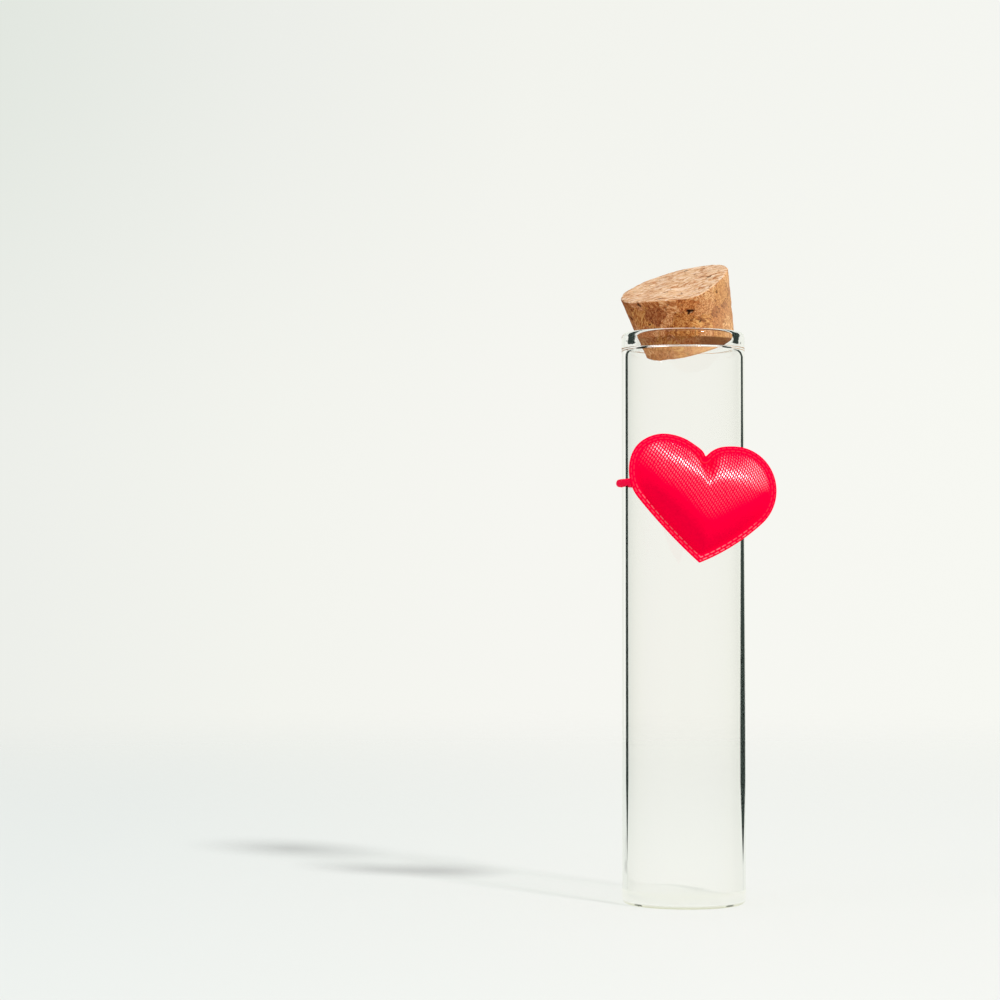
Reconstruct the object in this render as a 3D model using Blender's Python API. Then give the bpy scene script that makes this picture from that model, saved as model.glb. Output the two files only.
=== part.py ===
"""Corked glass vial that wears a padded satin heart on a loop of elastic cord.

Metres, +Z up. The origin is the middle of the vial's underside, where it stands.
The viewer looks along +Y, so -Y is the front and +X is to the right.
"""

import math

import bmesh
import bpy
from mathutils import Matrix, Vector

MM = 0.001

# Glass vial: a straight tube with a flat floor and a thick, fire-polished lip
VIAL_HEIGHT = 102.0 * MM
VIAL_DIAMETER = 22.0 * MM
VIAL_WALL = 0.75 * MM
VIAL_FLOOR = 1.0 * MM
VIAL_HEEL_ROUND = 0.9 * MM
VIAL_INNER_ROUND = 1.6 * MM
LIP_WALL = 1.9 * MM
LIP_HEIGHT = 3.0 * MM
LIP_SHOULDER = 1.2 * MM

# Cork stopper: a tapered plug that leans in the mouth
CORK_LENGTH = 12.1 * MM
CORK_TOP_OVER_MOUTH = 1.05 * MM
CORK_TIP_UNDER_MOUTH = 1.1 * MM
CORK_EDGE = 0.35 * MM
CORK_LEAN = math.radians(22.0)
CORK_LEANS_TO = math.radians(226.0)

# Elastic cord: a closed loop stretched round the glass
CORD_THICKNESS = 0.85 * MM
CORD_TALL = 1.2 * MM
CORD_HEIGHT = 75.2 * MM

# Padded heart: satin cover, wadding and backing, welded together at the rim
HEART_WIDTH = 27.0 * MM
HEART_HEIGHT = 22.1 * MM
HEART_TIP_BELOW_CORD = 14.6 * MM
HEART_LOBE_DROP = 1.15 * MM
HEART_TIP_OFFSET = 0.5 * MM
HEART_HANG = math.radians(-5.0)
HEART_FACES = math.radians(12.0)
LEFT_LOBE_SHARE = 0.255
RIGHT_LOBE_SHARE = 0.286
LEFT_SIDE_SHARE = 3.7
RIGHT_SIDE_SHARE = 1.4
RIM_WIDTH = 1.25 * MM
CROWN_RISE = 4.6 * MM
CROWN_CENTRE_SHARE = 0.54
COVER_CLOTH = 0.3 * MM
BACKING_CLOTH = 0.3 * MM

# Felt tab: holds the cord to the heart's back
TAB_WIDTH = 11.0 * MM
TAB_HEIGHT = 6.0 * MM
TAB_CORNER = 1.5 * MM

# Clearance between neighbours, and how far a cutter runs past what it cuts
FIT_GAP = 0.3 * MM
OVERRUN = 1.0 * MM

# How finely the curves are drawn
TURN_STEPS = 64
CORK_STEPS = 48
CORD_STEPS = 72
CORD_SIDES = 10
ARC_STEPS = 6
LOBE_STEPS = 18
SIDE_STEPS = 7
CROWN_STEPS = 7
CROWN_POWER = 0.75
CROWN_SOFTENING = 2

VIAL_RADIUS = VIAL_DIAMETER / 2
BORE_RADIUS = VIAL_RADIUS - VIAL_WALL
MOUTH_RADIUS = VIAL_RADIUS - LIP_WALL
RIM_ROUND = LIP_WALL / 2
CORK_TOP_RADIUS = MOUTH_RADIUS + CORK_TOP_OVER_MOUTH
CORK_TIP_RADIUS = MOUTH_RADIUS - CORK_TIP_UNDER_MOUTH
CORD_INNER_RADIUS = VIAL_RADIUS + FIT_GAP
CORD_OUTER_RADIUS = CORD_INNER_RADIUS + CORD_THICKNESS
BACKING_DISTANCE = CORD_OUTER_RADIUS + FIT_GAP
COVER_LEVEL = BACKING_CLOTH + FIT_GAP + COVER_CLOTH


def clear_scene():
    for obj in list(bpy.data.objects):
        bpy.data.objects.remove(obj, do_unlink=True)


def make_material(name, colour, roughness, transmission=0.0):
    material = bpy.data.materials.new(name)
    material.use_nodes = True
    shader = material.node_tree.nodes["Principled BSDF"]
    shader.inputs["Base Color"].default_value = (*colour, 1.0)
    shader.inputs["Roughness"].default_value = roughness
    shader.inputs["Metallic"].default_value = 0.0
    shader.inputs["Transmission Weight"].default_value = transmission
    return material


def add_piece(name, shape, material, parent=None, place=None):
    """Turns a bmesh into a named object under its parent, and frees the bmesh."""
    mesh = bpy.data.meshes.new(name)
    shape.to_mesh(mesh)
    shape.free()
    mesh.materials.append(material)
    mesh.shade_smooth()
    mesh.set_sharp_from_angle(angle=math.radians(35))
    obj = bpy.data.objects.new(name, mesh)
    bpy.context.scene.collection.objects.link(obj)
    obj.parent = parent
    if place is not None:
        obj.matrix_local = place
    return obj


def add_axis(name, place):
    """An empty on a joint's axis. What moves together hangs from it."""
    axis = bpy.data.objects.new(name, None)
    axis.empty_display_size = VIAL_RADIUS
    bpy.context.scene.collection.objects.link(axis)
    axis.matrix_world = place
    return axis


def arc(centre, radius, start, end, steps=ARC_STEPS):
    """Points of an arc, with its angles in degrees."""
    turn = [math.radians(start + (end - start) * i / steps) for i in range(steps + 1)]
    return [
        (centre[0] + radius * math.cos(a), centre[1] + radius * math.sin(a)) for a in turn
    ]


def revolve(profile, steps):
    """Spins (radius, height) points, listed from one end of the axis to the other."""
    shape = bmesh.new()
    verts = [shape.verts.new((radius, 0, height)) for radius, height in profile]
    edges = [shape.edges.new(pair) for pair in zip(verts, verts[1:])]
    bmesh.ops.spin(
        shape, geom=verts + edges, axis=(0, 0, 1), cent=(0, 0, 0), angle=2 * math.pi,
        steps=steps, use_merge=True,
    )
    bmesh.ops.remove_doubles(shape, verts=shape.verts, dist=MM / 1000)
    bmesh.ops.recalc_face_normals(shape, faces=shape.faces)
    return shape


def vial_shape():
    """One closed profile: lip, outside, heel, underside, floor, bore and shoulder."""
    rim_centre = (VIAL_RADIUS - RIM_ROUND, VIAL_HEIGHT - RIM_ROUND)
    lip_foot = VIAL_HEIGHT - LIP_HEIGHT
    profile = arc(rim_centre, RIM_ROUND, 90, 0)
    profile += arc((VIAL_RADIUS - VIAL_HEEL_ROUND, VIAL_HEEL_ROUND), VIAL_HEEL_ROUND, 0, -90)
    profile += [(0, 0), (0, VIAL_FLOOR)]
    fillet = (BORE_RADIUS - VIAL_INNER_ROUND, VIAL_FLOOR + VIAL_INNER_ROUND)
    profile += arc(fillet, VIAL_INNER_ROUND, -90, 0)
    for i in range(ARC_STEPS + 1):
        along = i / ARC_STEPS
        eased = (1 - math.cos(math.pi * along)) / 2
        radius = BORE_RADIUS + (MOUTH_RADIUS - BORE_RADIUS) * eased
        profile.append((radius, lip_foot - LIP_SHOULDER * (1 - along)))
    profile += arc(rim_centre, RIM_ROUND, 180, 90)
    return revolve(profile, TURN_STEPS)


def cork_shape():
    """A tapered plug on its own axis, small end at the bottom, with broken edges."""
    slope = (CORK_TOP_RADIUS - CORK_TIP_RADIUS) / CORK_LENGTH
    profile = [
        (0, 0),
        (CORK_TIP_RADIUS - CORK_EDGE, 0),
        (CORK_TIP_RADIUS + slope * CORK_EDGE, CORK_EDGE),
        (CORK_TOP_RADIUS - slope * CORK_EDGE, CORK_LENGTH - CORK_EDGE),
        (CORK_TOP_RADIUS - CORK_EDGE, CORK_LENGTH),
        (0, CORK_LENGTH),
    ]
    return revolve(profile, CORK_STEPS)


def cork_place():
    """Where the leaning cork comes to rest, one clearance away from the lip.

    In the plane of the lean, x runs away from the lean and z up from the rim. One
    side of the cork lies on the lip's round edge. The cork slides down along it
    until its other bottom corner meets the mouth, or the round edge there.
    """
    taper = math.atan((CORK_TOP_RADIUS - CORK_TIP_RADIUS) / CORK_LENGTH)
    lean = CORK_LEAN + taper
    side = Vector((-math.sin(lean), math.cos(lean)))
    inward = Vector((math.cos(lean), math.sin(lean)))
    near_round = Vector((-MOUTH_RADIUS - RIM_ROUND, -RIM_ROUND))
    far_round = Vector((MOUTH_RADIUS + RIM_ROUND, -RIM_ROUND))
    reach = RIM_ROUND + FIT_GAP
    across = Vector((math.cos(CORK_LEAN), math.sin(CORK_LEAN))) * CORK_TIP_RADIUS
    on_side = inward * (inward.dot(near_round) + reach)
    corner = on_side + across * 2
    slide = (MOUTH_RADIUS - FIT_GAP - corner.x) / side.x
    if (corner + side * slide).y > -RIM_ROUND:
        offset = corner - far_round
        along = offset.dot(side)
        slide = math.sqrt(along**2 - offset.length_squared + reach**2) - along
    foot = on_side + side * slide + across
    return (
        Matrix.Rotation(CORK_LEANS_TO - math.pi, 4, "Z")
        @ Matrix.Translation((foot.x, 0, VIAL_HEIGHT + foot.y))
        @ Matrix.Rotation(-CORK_LEAN, 4, "Y")
    )


def ring_shape(inner_radius, outer_radius, tall, steps, sides):
    """A ring of oval section round the vertical axis."""
    shape = bmesh.new()
    half_wide = (outer_radius - inner_radius) / 2
    turned = [2 * math.pi * i / sides for i in range(sides)]
    verts = [
        shape.verts.new((
            inner_radius + half_wide * (1 + math.cos(a)), 0, tall / 2 * math.sin(a),
        ))
        for a in turned
    ]
    edges = [shape.edges.new((v, verts[i - 1])) for i, v in enumerate(verts)]
    bmesh.ops.spin(
        shape, geom=verts + edges, axis=(0, 0, 1), cent=(0, 0, 0), angle=2 * math.pi,
        steps=steps, use_merge=True,
    )
    bmesh.ops.remove_doubles(shape, verts=shape.verts, dist=MM / 1000)
    bmesh.ops.recalc_face_normals(shape, faces=shape.faces)
    return shape


def half_heart(lobe, lobe_radius, side_radius, cleft, tip):
    """From the cleft over a lobe on the right, then down a flat arc to the tip.

    The flat arc leaves the lobe smoothly, so its centre lies the difference of the
    two radii from the lobe's centre, and its own radius from the tip.
    """
    to_lobe = lobe - tip
    gap = to_lobe.length
    unit = to_lobe / gap
    along = (side_radius**2 - (side_radius - lobe_radius) ** 2 + gap**2) / (2 * gap)
    across = math.sqrt(side_radius**2 - along**2)
    centre = tip + unit * along + Vector((-unit.y, unit.x)) * across
    leaves = math.degrees(math.atan2(*(lobe - centre).yx))
    starts = math.degrees(math.atan2(*(cleft - lobe).yx))
    ends = math.degrees(math.atan2(*(tip - centre).yx))
    points = arc(lobe, lobe_radius, starts, leaves, LOBE_STEPS)
    return points + arc(centre, side_radius, leaves, ends, SIDE_STEPS)[1:]


def heart_outline():
    """The heart's edge, clockwise from the cleft, about the point on the cord."""
    tip = Vector((HEART_TIP_OFFSET, -HEART_TIP_BELOW_CORD))
    top = HEART_HEIGHT - HEART_TIP_BELOW_CORD
    left_radius = LEFT_LOBE_SHARE * HEART_WIDTH
    right_radius = RIGHT_LOBE_SHARE * HEART_WIDTH
    left = Vector((left_radius - HEART_WIDTH / 2, top - left_radius))
    right = Vector((HEART_WIDTH / 2 - right_radius, top - HEART_LOBE_DROP - right_radius))
    between = right - left
    apart = between.length
    along = (left_radius**2 - right_radius**2 + apart**2) / (2 * apart)
    unit = between / apart
    up = Vector((-unit.y, unit.x)) * math.sqrt(left_radius**2 - along**2)
    cleft = left + unit * along + up
    right_half = half_heart(
        right, right_radius, RIGHT_SIDE_SHARE * HEART_WIDTH, cleft, tip
    )
    flip = Vector((-1, 1))
    left_half = half_heart(
        left * flip, left_radius, LEFT_SIDE_SHARE * HEART_WIDTH, cleft * flip, tip * flip
    )
    return right_half + [(-x, y) for x, y in left_half[-2:0:-1]]


def heart_face(level):
    """The flat heart as one face that looks out from the glass."""
    shape = bmesh.new()
    outline = [shape.verts.new((x, y, level)) for x, y in heart_outline()]
    face = shape.faces.new(outline)
    face.normal_update()
    if face.normal.z < 0:
        face.normal_flip()
    return shape, face


def inset(shape, face, width):
    """Draws a parallel outline inside the face and returns the inner face."""
    bmesh.ops.inset_region(
        shape, faces=[face], thickness=width, use_boundary=True, use_even_offset=True
    )
    return face


def puff_up(shape, face, rise):
    """Raises a face into a crown: narrower rings, each a step higher, then a peak."""
    centre = Vector((0, HEART_HEIGHT * CROWN_CENTRE_SHARE - HEART_TIP_BELOW_CORD, 0))
    plan, level = 1.0, 0.0
    crown = []
    for step in range(1, CROWN_STEPS):
        share = math.cos(math.pi / 2 * step / CROWN_STEPS)
        height = rise * (1 - share**2) ** CROWN_POWER
        raised = bmesh.ops.extrude_discrete_faces(shape, faces=[face])
        face = raised["faces"][0]
        bmesh.ops.scale(
            shape, vec=(share / plan, share / plan, 1), verts=face.verts,
            space=Matrix.Translation(-centre),
        )
        bmesh.ops.translate(shape, vec=(0, 0, height - level), verts=face.verts)
        plan, level = share, height
        crown += list(face.verts)
    peak = bmesh.ops.poke(shape, faces=[face])["verts"]
    bmesh.ops.translate(shape, vec=(0, 0, rise - level), verts=peak)
    for _ in range(CROWN_SOFTENING):
        bmesh.ops.smooth_vert(
            shape, verts=crown, factor=0.5, use_axis_x=True, use_axis_y=True,
            use_axis_z=True,
        )


def cover_shape():
    """The satin: a flat welded rim, and a crown that is drawn in at its foot."""
    shape, face = heart_face(COVER_LEVEL)
    face = inset(shape, face, RIM_WIDTH)
    puff_up(shape, face, CROWN_RISE)
    return shape


def filling_shape():
    """The wadding: a smaller crown on a flat underside, clear of the cover."""
    shape, face = heart_face(BACKING_CLOTH + FIT_GAP)
    face = inset(shape, face, RIM_WIDTH + COVER_CLOTH + 2 * FIT_GAP)
    rim = [f for f in shape.faces if f is not face]
    bmesh.ops.delete(shape, geom=rim, context="FACES")
    underside = face.copy()
    underside.normal_flip()
    puff_up(shape, face, CROWN_RISE - COVER_CLOTH - FIT_GAP)
    return shape


def backing_shape():
    """The backing: the heart's outline, one cloth thick."""
    shape, face = heart_face(0)
    raised = bmesh.ops.extrude_face_region(shape, geom=[face])["geom"]
    verts = [v for v in raised if isinstance(v, bmesh.types.BMVert)]
    bmesh.ops.translate(shape, vec=(0, 0, BACKING_CLOTH), verts=verts)
    bmesh.ops.recalc_face_normals(shape, faces=shape.faces)
    return shape


def tab_shape():
    """A felt block with round corners, from the backing to past the glass."""
    shape = bmesh.new()
    half_wide = TAB_WIDTH / 2 - TAB_CORNER
    half_tall = TAB_HEIGHT / 2 - TAB_CORNER
    corners = []
    for quarter, (x, y) in enumerate(((1, 1), (-1, 1), (-1, -1), (1, -1))):
        centre = (x * half_wide, y * half_tall)
        corners += arc(centre, TAB_CORNER, 90 * quarter, 90 * quarter + 90, 4)
    face = shape.faces.new([shape.verts.new((x, y, -FIT_GAP)) for x, y in corners])
    raised = bmesh.ops.extrude_face_region(shape, geom=[face])["geom"]
    verts = [v for v in raised if isinstance(v, bmesh.types.BMVert)]
    bmesh.ops.translate(shape, vec=(0, 0, FIT_GAP - BACKING_DISTANCE), verts=verts)
    bmesh.ops.recalc_face_normals(shape, faces=shape.faces)
    return shape


def add_cutter(name, shape, target, place):
    """Cuts a shape out of the target. The cutter itself is only a guide."""
    bmesh.ops.recalc_face_normals(shape, faces=shape.faces)
    mesh = bpy.data.meshes.new(name)
    shape.to_mesh(mesh)
    shape.free()
    cutter = bpy.data.objects.new(name, mesh)
    bpy.context.scene.collection.objects.link(cutter)
    cutter.matrix_world = place
    cutter.hide_render = True
    cutter.display_type = "WIRE"
    cut = target.modifiers.new(name, "BOOLEAN")
    cut.operation = "DIFFERENCE"
    cut.solver = "EXACT"
    cut.object = cutter


def add_vial():
    glass = make_material("clear_glass", (0.97, 0.98, 0.97), 0.02, 1.0)
    add_piece("glass_vial", vial_shape(), glass)


def add_cork():
    cork = make_material("agglomerated_cork", (0.48, 0.26, 0.12), 0.85)
    add_piece("cork_stopper", cork_shape(), cork, place=cork_place())


def add_cord(band_axis):
    elastic = make_material("red_elastic", (0.65, 0.01, 0.03), 0.6)
    ring = ring_shape(
        CORD_INNER_RADIUS, CORD_OUTER_RADIUS, CORD_TALL, CORD_STEPS, CORD_SIDES
    )
    add_piece("elastic_cord", ring, elastic, parent=band_axis)


def add_heart(heart_axis):
    satin = make_material("red_satin", (0.8, 0.0, 0.03), 0.35)
    wadding = make_material("polyester_wadding", (0.9, 0.9, 0.88), 0.95)
    felt = make_material("red_felt", (0.55, 0.01, 0.03), 0.95)
    hangs = (
        Matrix.Translation((0, -BACKING_DISTANCE, 0))
        @ Matrix.Rotation(math.pi / 2, 4, "X")
        @ Matrix.Rotation(HEART_HANG, 4, "Z")
    )
    cover = add_piece("heart_cover", cover_shape(), satin, heart_axis, hangs)
    cloth = cover.modifiers.new("cloth", "SOLIDIFY")
    cloth.thickness = COVER_CLOTH
    cloth.offset = -1
    cloth.use_even_offset = True
    add_piece("heart_filling", filling_shape(), wadding, heart_axis, hangs)
    add_piece("heart_backing", backing_shape(), satin, heart_axis, hangs)
    level = Matrix.Translation((0, -BACKING_DISTANCE, 0)) @ Matrix.Rotation(
        math.pi / 2, 4, "X"
    )
    tab = add_piece("cord_tab", tab_shape(), felt, heart_axis, level)
    around_glass = bmesh.new()
    bmesh.ops.create_cone(
        around_glass, cap_ends=True, segments=CORD_STEPS, radius1=CORD_INNER_RADIUS,
        radius2=CORD_INNER_RADIUS, depth=TAB_HEIGHT + 2 * OVERRUN,
    )
    at_cord = Matrix.Translation((0, 0, CORD_HEIGHT))
    add_cutter("glass_clearance", around_glass, tab, at_cord)
    channel = ring_shape(
        CORD_INNER_RADIUS - FIT_GAP, CORD_OUTER_RADIUS + FIT_GAP,
        CORD_TALL + 2 * FIT_GAP, CORD_STEPS, CORD_SIDES,
    )
    add_cutter("cord_channel", channel, tab, at_cord)


def main():
    clear_scene()
    add_vial()
    add_cork()
    at_cord = Matrix.Translation((0, 0, CORD_HEIGHT))
    band_axis = add_axis("band_axis", at_cord)
    add_cord(band_axis)
    heart_axis = add_axis("heart_axis", at_cord @ Matrix.Rotation(HEART_FACES, 4, "Z"))
    add_heart(heart_axis)


main()
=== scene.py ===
# %% [markdown]
# # A corked glass vial with a padded heart
# A plain glass favour vial, 102 mm tall and 22 mm across. A tapered stopper of pressed
# cork leans in its thick, fire-polished lip. A padded satin heart is held round the tube
# by a loop of elastic cord, which runs in a felt tab on the heart's back.
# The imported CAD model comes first. It fixes every size and place, and the pieces below
# dress it, each in the space that its own solid holds.

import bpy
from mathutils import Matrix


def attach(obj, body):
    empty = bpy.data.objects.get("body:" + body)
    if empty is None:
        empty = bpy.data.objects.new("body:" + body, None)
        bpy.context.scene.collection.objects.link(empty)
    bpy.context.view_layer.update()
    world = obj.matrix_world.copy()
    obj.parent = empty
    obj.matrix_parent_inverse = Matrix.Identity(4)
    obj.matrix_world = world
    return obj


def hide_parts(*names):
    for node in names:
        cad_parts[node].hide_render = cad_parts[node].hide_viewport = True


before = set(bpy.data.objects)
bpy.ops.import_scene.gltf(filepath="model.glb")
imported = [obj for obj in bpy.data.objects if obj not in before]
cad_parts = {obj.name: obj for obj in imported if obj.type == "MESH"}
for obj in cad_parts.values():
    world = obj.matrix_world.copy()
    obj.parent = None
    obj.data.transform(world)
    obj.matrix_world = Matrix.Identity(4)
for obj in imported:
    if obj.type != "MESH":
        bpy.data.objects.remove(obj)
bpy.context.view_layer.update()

# %% Libraries and units
import functools
import math

import bmesh
import bpy
from mathutils import Matrix, Vector, kdtree, noise

MM = 0.001

# %% [markdown]
# ## Helpers
# Blender's shaders work in linear light, while a colour picker shows sRGB. One function
# turns a hex value into the linear colour. Another adds a node with its settings and
# links, so that a material reads as a short list. The last ones draw profiles, and turn
# a bmesh into a finished piece, with its place in its mesh and its normals pointing out.

# %% Colour
def linear(hex_colour):
    """An sRGB hex value as a linear RGBA colour."""
    parts = [int(hex_colour[i:i + 2], 16) / 255 for i in (0, 2, 4)]
    curve = [p / 12.92 if p <= 0.04045 else ((p + 0.055) / 1.055) ** 2.4 for p in parts]
    return (*curve, 1.0)


print("mid grey 808080 is", round(linear("808080")[0], 3), "in linear light")


# %% Nodes
def add_node(tree, kind, inputs=(), operation=None, ramp=(), **settings):
    """Adds a shader node with its settings, and gives its sockets values or links.

    inputs is a list in the order of the sockets, or a table with their names. A value of
    text is a hex colour. ramp lists the stops of a colour ramp.
    """
    node = tree.nodes.new("ShaderNode" + kind)
    if operation:
        node.operation = operation
    for key, value in settings.items():
        setattr(node, key, value)
    for key, value in inputs.items() if isinstance(inputs, dict) else enumerate(inputs):
        socket = node.inputs[key]
        if isinstance(value, bpy.types.Node):
            value = next(s for s in value.outputs if s.enabled)
        if isinstance(value, bpy.types.NodeSocket):
            tree.links.new(value, socket)
        else:
            socket.default_value = linear(value) if isinstance(value, str) else value
    for stop, (position, colour) in enumerate(ramp):
        stops = node.color_ramp.elements
        element = stops[stop] if stop < len(stops) else stops.new(position)
        element.position = position
        element.color = linear(colour) if isinstance(colour, str) else colour
    return node


def nodes_of(owner):
    """Clears the nodes of a material or world, and returns add_node for its tree."""
    owner.use_nodes = True
    owner.node_tree.nodes.clear()
    return functools.partial(add_node, owner.node_tree)


def place_in_mm(node):
    """The place on a piece in millimetres, which sets the size of a pattern."""
    place = node("TexCoord").outputs["Object"]
    return node("Mapping", {"Vector": place, "Scale": (1 / MM,) * 3})


# %% Pieces
def add_piece(name, shape, material, place=Matrix()):
    """Turns a bmesh drawn in mm into a smooth piece in metres, at its place."""
    matrix = Matrix.Scale(MM, 4) @ place
    bmesh.ops.transform(shape, matrix=matrix, verts=shape.verts)
    mesh = bpy.data.meshes.new(name)
    shape.to_mesh(mesh)
    shape.free()
    mesh.shade_smooth()
    mesh.materials.append(material)
    piece = bpy.data.objects.new(name, mesh)
    bpy.context.scene.collection.objects.link(piece)
    return piece


def freeze(piece):
    """Applies a piece's modifiers, so that its mesh is what shows."""
    graph = bpy.context.evaluated_depsgraph_get()
    mesh = bpy.data.meshes.new_from_object(piece.evaluated_get(graph))
    old, piece.data = piece.data, mesh
    piece.modifiers.clear()
    bpy.data.meshes.remove(old)


def describe(piece):
    """Prints a piece's faces and where it reaches."""
    spans = zip(*(v.co / MM for v in piece.data.vertices))
    size = ", ".join(f"{min(span):.1f} to {max(span):.1f}" for span in map(tuple, spans))
    print(f"{piece.name}: {len(piece.data.polygons)} faces, {size} mm")


def arc(centre, radius, start, end, steps):
    """Points of an arc in a plane, with its angles in degrees."""
    turn = [math.radians(start + (end - start) * i / steps) for i in range(steps + 1)]
    return [
        (centre[0] + radius * math.cos(a), centre[1] + radius * math.sin(a)) for a in turn
    ]


def revolve(profile, steps):
    """Spins (radius, height) points round Z into a closed shape."""
    shape = bmesh.new()
    verts = [shape.verts.new((radius, 0, height)) for radius, height in profile]
    edges = [shape.edges.new(pair) for pair in zip(verts, verts[1:])]
    bmesh.ops.spin(
        shape, geom=verts + edges, axis=(0, 0, 1), cent=(0, 0, 0), angle=2 * math.pi,
        steps=steps, use_merge=True,
    )
    bmesh.ops.remove_doubles(shape, verts=shape.verts, dist=0.001)
    bmesh.ops.recalc_face_normals(shape, faces=shape.faces)
    return shape


# %% [markdown]
# ## Camera
# The photograph looks slightly up from just above the middle of the tube, about half a
# metre away, with a short telephoto lens. The vial stands right of the middle of the
# picture, because the camera stands a little to its left.

# %% Camera
CAMERA_PLACE = (-0.03287, -0.498, 0.0575)
CAMERA_PITCH = math.radians(91.666)

camera_data = bpy.data.cameras.new("camera")
camera_data.lens = 100.0
camera_data.sensor_width = 36.0
camera = bpy.data.objects.new("camera", camera_data)
camera.location = CAMERA_PLACE
camera.rotation_euler = (CAMERA_PITCH, 0, 0)
bpy.context.scene.collection.objects.link(camera)
bpy.context.scene.camera = camera
bpy.context.scene.view_settings.view_transform = "Standard"
print("camera", CAMERA_PLACE, "lens", camera_data.lens)

# %% [markdown]
# ## Floor and backdrop
# The object stands on white card that runs back into a pale, warm backdrop. The world
# gives the backdrop's colour to camera and glass rays, so that the glass shows it too.
# Mirror rays see a dim room with a faintly lit ceiling instead, as they would past a
# narrow backdrop, and all other rays a soft even light. The card fades into the world far
# behind the object, so that no horizon shows, and it keeps the object's shadow. Mirror
# rays find it nearly black, like the room's floor beyond a small sheet of card.

# %% World
BACKDROP_LEVEL = ["FCFCF8", "EDEFEA", "F3F4EE", "F6F6F1", "F7F8F2"]
BACKDROP_HIGH = ["FCFCF8", "E2E7E0", "ECEEE9", "F2F3ED", "F5F6F1"]
BACKDROP_STOPS = (0.18, 0.353, 0.433, 0.507, 0.667)
# The backdrop's colours run over X, and from the level tones to the high ones over Z
BACKDROP_ACROSS, BACKDROP_RISE = (-0.6, 0.6), (0.03, 0.21)
OVERHEAD_FROM, CEILING_FROM, ZENITH = 0.45, 0.60, 0.95
OVERHEAD_LIGHT = 1.35
ROOM_LIGHT, CEILING_LIGHT = 0.008, 0.45
AMBIENT_LIGHT = 0.74

world = bpy.data.worlds.new("studio")
bpy.context.scene.world = world
node = nodes_of(world)
axes = node("SeparateXYZ", [node("TexCoord").outputs["Generated"]])
across = node("MapRange", [axes.outputs["X"], *BACKDROP_ACROSS])
rising = node("MapRange", [axes.outputs["Z"], *BACKDROP_RISE], interpolation_type="SMOOTHSTEP")
level_tone, high_tone = [
    node("ValToRGB", [across], ramp=zip(BACKDROP_STOPS, tones))
    for tones in (BACKDROP_LEVEL, BACKDROP_HIGH)
]
backdrop = node("MixRGB", [rising, level_tone, high_tone])
overhead = node("MapRange", [axes.outputs["Z"], OVERHEAD_FROM, ZENITH, 1.0, OVERHEAD_LIGHT])
rays = node("LightPath")
through_glass = node("Math", [
    rays.outputs["Is Camera Ray"], rays.outputs["Is Transmission Ray"],
], "MAXIMUM")
ambient = node("Background", {"Color": "FFFFFF", "Strength": AMBIENT_LIGHT})
room_glow = node("MapRange", [
    axes.outputs["Z"], CEILING_FROM, ZENITH, ROOM_LIGHT, CEILING_LIGHT,
])
room = node("Background", {"Color": "FFFFFF", "Strength": room_glow})
backdrop_light = node("Background", {"Color": backdrop, "Strength": overhead})
unmirrored = node("MixShader", [rays.outputs["Is Glossy Ray"], ambient, room])
both = node("MixShader", [through_glass, unmirrored, backdrop_light])
node("OutputWorld", {"Surface": both})
print("backdrop", BACKDROP_LEVEL, "ambient light", AMBIENT_LIGHT)

# %% White card floor
FLOOR_RADIUS, FLOOR_LEVEL = 2000.0, -0.04
# The card carries painted shade: its tone darkens towards the left
CARD_SHADED_LEFT, CARD_RIGHT, CARD_MIRRORED = "D9DDDA", "E0E2DE", "181818"
CARD_TURNS_PALE = (-0.13, 0.0)
FADE_START, FADE_END = 0.10, 0.75

card = bpy.data.materials.new("white_card")
node = nodes_of(card)
place = node("TexCoord").outputs["Object"]
axes = node("SeparateXYZ", [place])
away = node("VectorMath", [place], "LENGTH")
fade = node("MapRange", [
    away.outputs["Value"], FADE_START, FADE_END,
], interpolation_type="SMOOTHSTEP")
# Painted shade, darker towards the left of the card
across = node("MapRange", [axes.outputs["X"], *CARD_TURNS_PALE])
tone = node("ValToRGB", [across], ramp=[(0.0, CARD_SHADED_LEFT), (1.0, CARD_RIGHT)])
rays = node("LightPath")
mirrored = node("Math", [
    rays.outputs["Is Glossy Ray"], rays.outputs["Is Transmission Ray"],
], "SUBTRACT", use_clamp=True)
tone = node("MixRGB", [mirrored, tone, CARD_MIRRORED])
matt = node("BsdfDiffuse", {"Color": tone})
clear = node("BsdfTransparent")
faded = node("MixShader", [fade, matt, clear])
node("OutputMaterial", [faded])

shape = bmesh.new()
bmesh.ops.create_circle(shape, cap_ends=True, segments=96, radius=FLOOR_RADIUS)
floor = add_piece("floor", shape, card, Matrix.Translation((0, 0, FLOOR_LEVEL)))
describe(floor)

# %% [markdown]
# ## Studio light
# A small key light stands ahead and to the right, two fifths of the way up, as the small
# highlights on the lip show. It throws the shadow back and to the left. A wide soft light
# from the left lifts the shaded side without a reflection of its own, and the pale floor
# does the rest. Both stand far off, so that the card is lit evenly.

# %% Lamps
def add_lamp(name, azimuth, elevation, distance, size, watts, mirrored):
    """An area lamp. Azimuth 0 is the viewer's side and grows to the right."""
    a, e = math.radians(azimuth), math.radians(elevation)
    way = Vector((math.sin(a) * math.cos(e), -math.cos(a) * math.cos(e), math.sin(e)))
    data = bpy.data.lights.new(name, "AREA")
    data.shape = "DISK"
    data.size = size
    data.energy = watts
    lamp = bpy.data.objects.new(name, data)
    lamp.location = Vector((0, 0, 0.06)) + way * distance
    lamp.rotation_euler = way.to_track_quat("Z", "Y").to_euler()
    lamp.visible_glossy = mirrored
    bpy.context.scene.collection.objects.link(lamp)
    print(f"{name}: {watts} W, {size} m across, {distance} m away")


add_lamp("key", 37, 40, 5.0, 0.6, 150.0, mirrored=True)
add_lamp("fill", -60, 35, 3.0, 2.0, 14.0, mirrored=False)

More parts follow.
